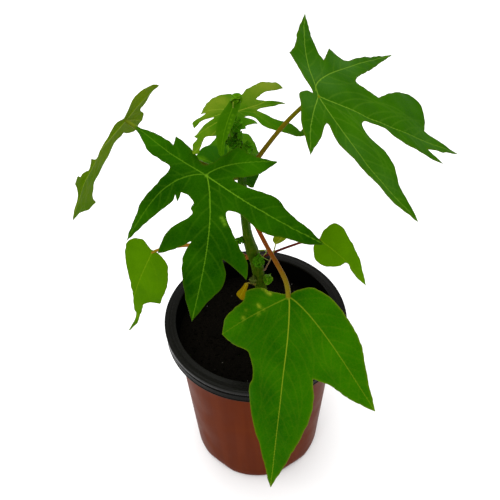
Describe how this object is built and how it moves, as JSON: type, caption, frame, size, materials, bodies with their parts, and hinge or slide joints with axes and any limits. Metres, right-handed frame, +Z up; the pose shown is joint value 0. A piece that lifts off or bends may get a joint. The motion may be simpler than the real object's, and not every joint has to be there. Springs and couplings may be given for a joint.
{
  "type": "potted papaya seedling",
  "caption": "Young papaya plant with a thin leaning stem and deeply lobed leaves on long stalks, standing in a round tapered nursery pot filled with soil.",
  "frame": {"origin": "centre of the pot's flat underside, where it stands", "axes": "+Z up along the pot's axis, -Y towards the front of the picture, +X to its right"},
  "size_m": [0.233, 0.206, 0.3429],
  "materials": {
    "pot": "thin brown nursery-pot plastic, satin outside",
    "rim": "black moulded plastic with a soft sheen",
    "soil": "dark moist potting mix with fine crumbs",
    "stem": "green young stem with leaf scars",
    "stalks": "smooth red-brown to yellow-green leaf stalks",
    "leaves": "soft dark green leaf skin with paler veins",
    "young_leaves": "soft yellow-green leaf skin with paler veins"
  },
  "bodies": {
    "root": {"pot": "pot", "pot_rim": "rim", "soil": "soil", "stem": "stem", "blade_left": "leaves", "blade_front": "leaves", "blade_right": "leaves", "blade_low_front": "leaves", "blade_low_left": "young_leaves", "blade_low_right": "young_leaves", "blade_top": "young_leaves", "blade_back": "young_leaves", "blade_young": "young_leaves", "blade_tiny": "young_leaves", "blade_seed_leaf": "young_leaves", "stalk_left": "stalks", "stalk_front": "stalks", "stalk_right": "stalks", "stalk_low_front": "stalks", "stalk_low_left": "stalks", "stalk_low_right": "stalks", "stalk_top": "stalks", "stalk_back": "stalks", "stalk_young": "stalks", "stalk_tiny": "stalks", "stalk_seed_leaf": "stalks", "bud_upper": "young_leaves", "bud_lower": "young_leaves", "bud_side": "young_leaves", "shoot_tip": "young_leaves"}
  },
  "joints": []
}
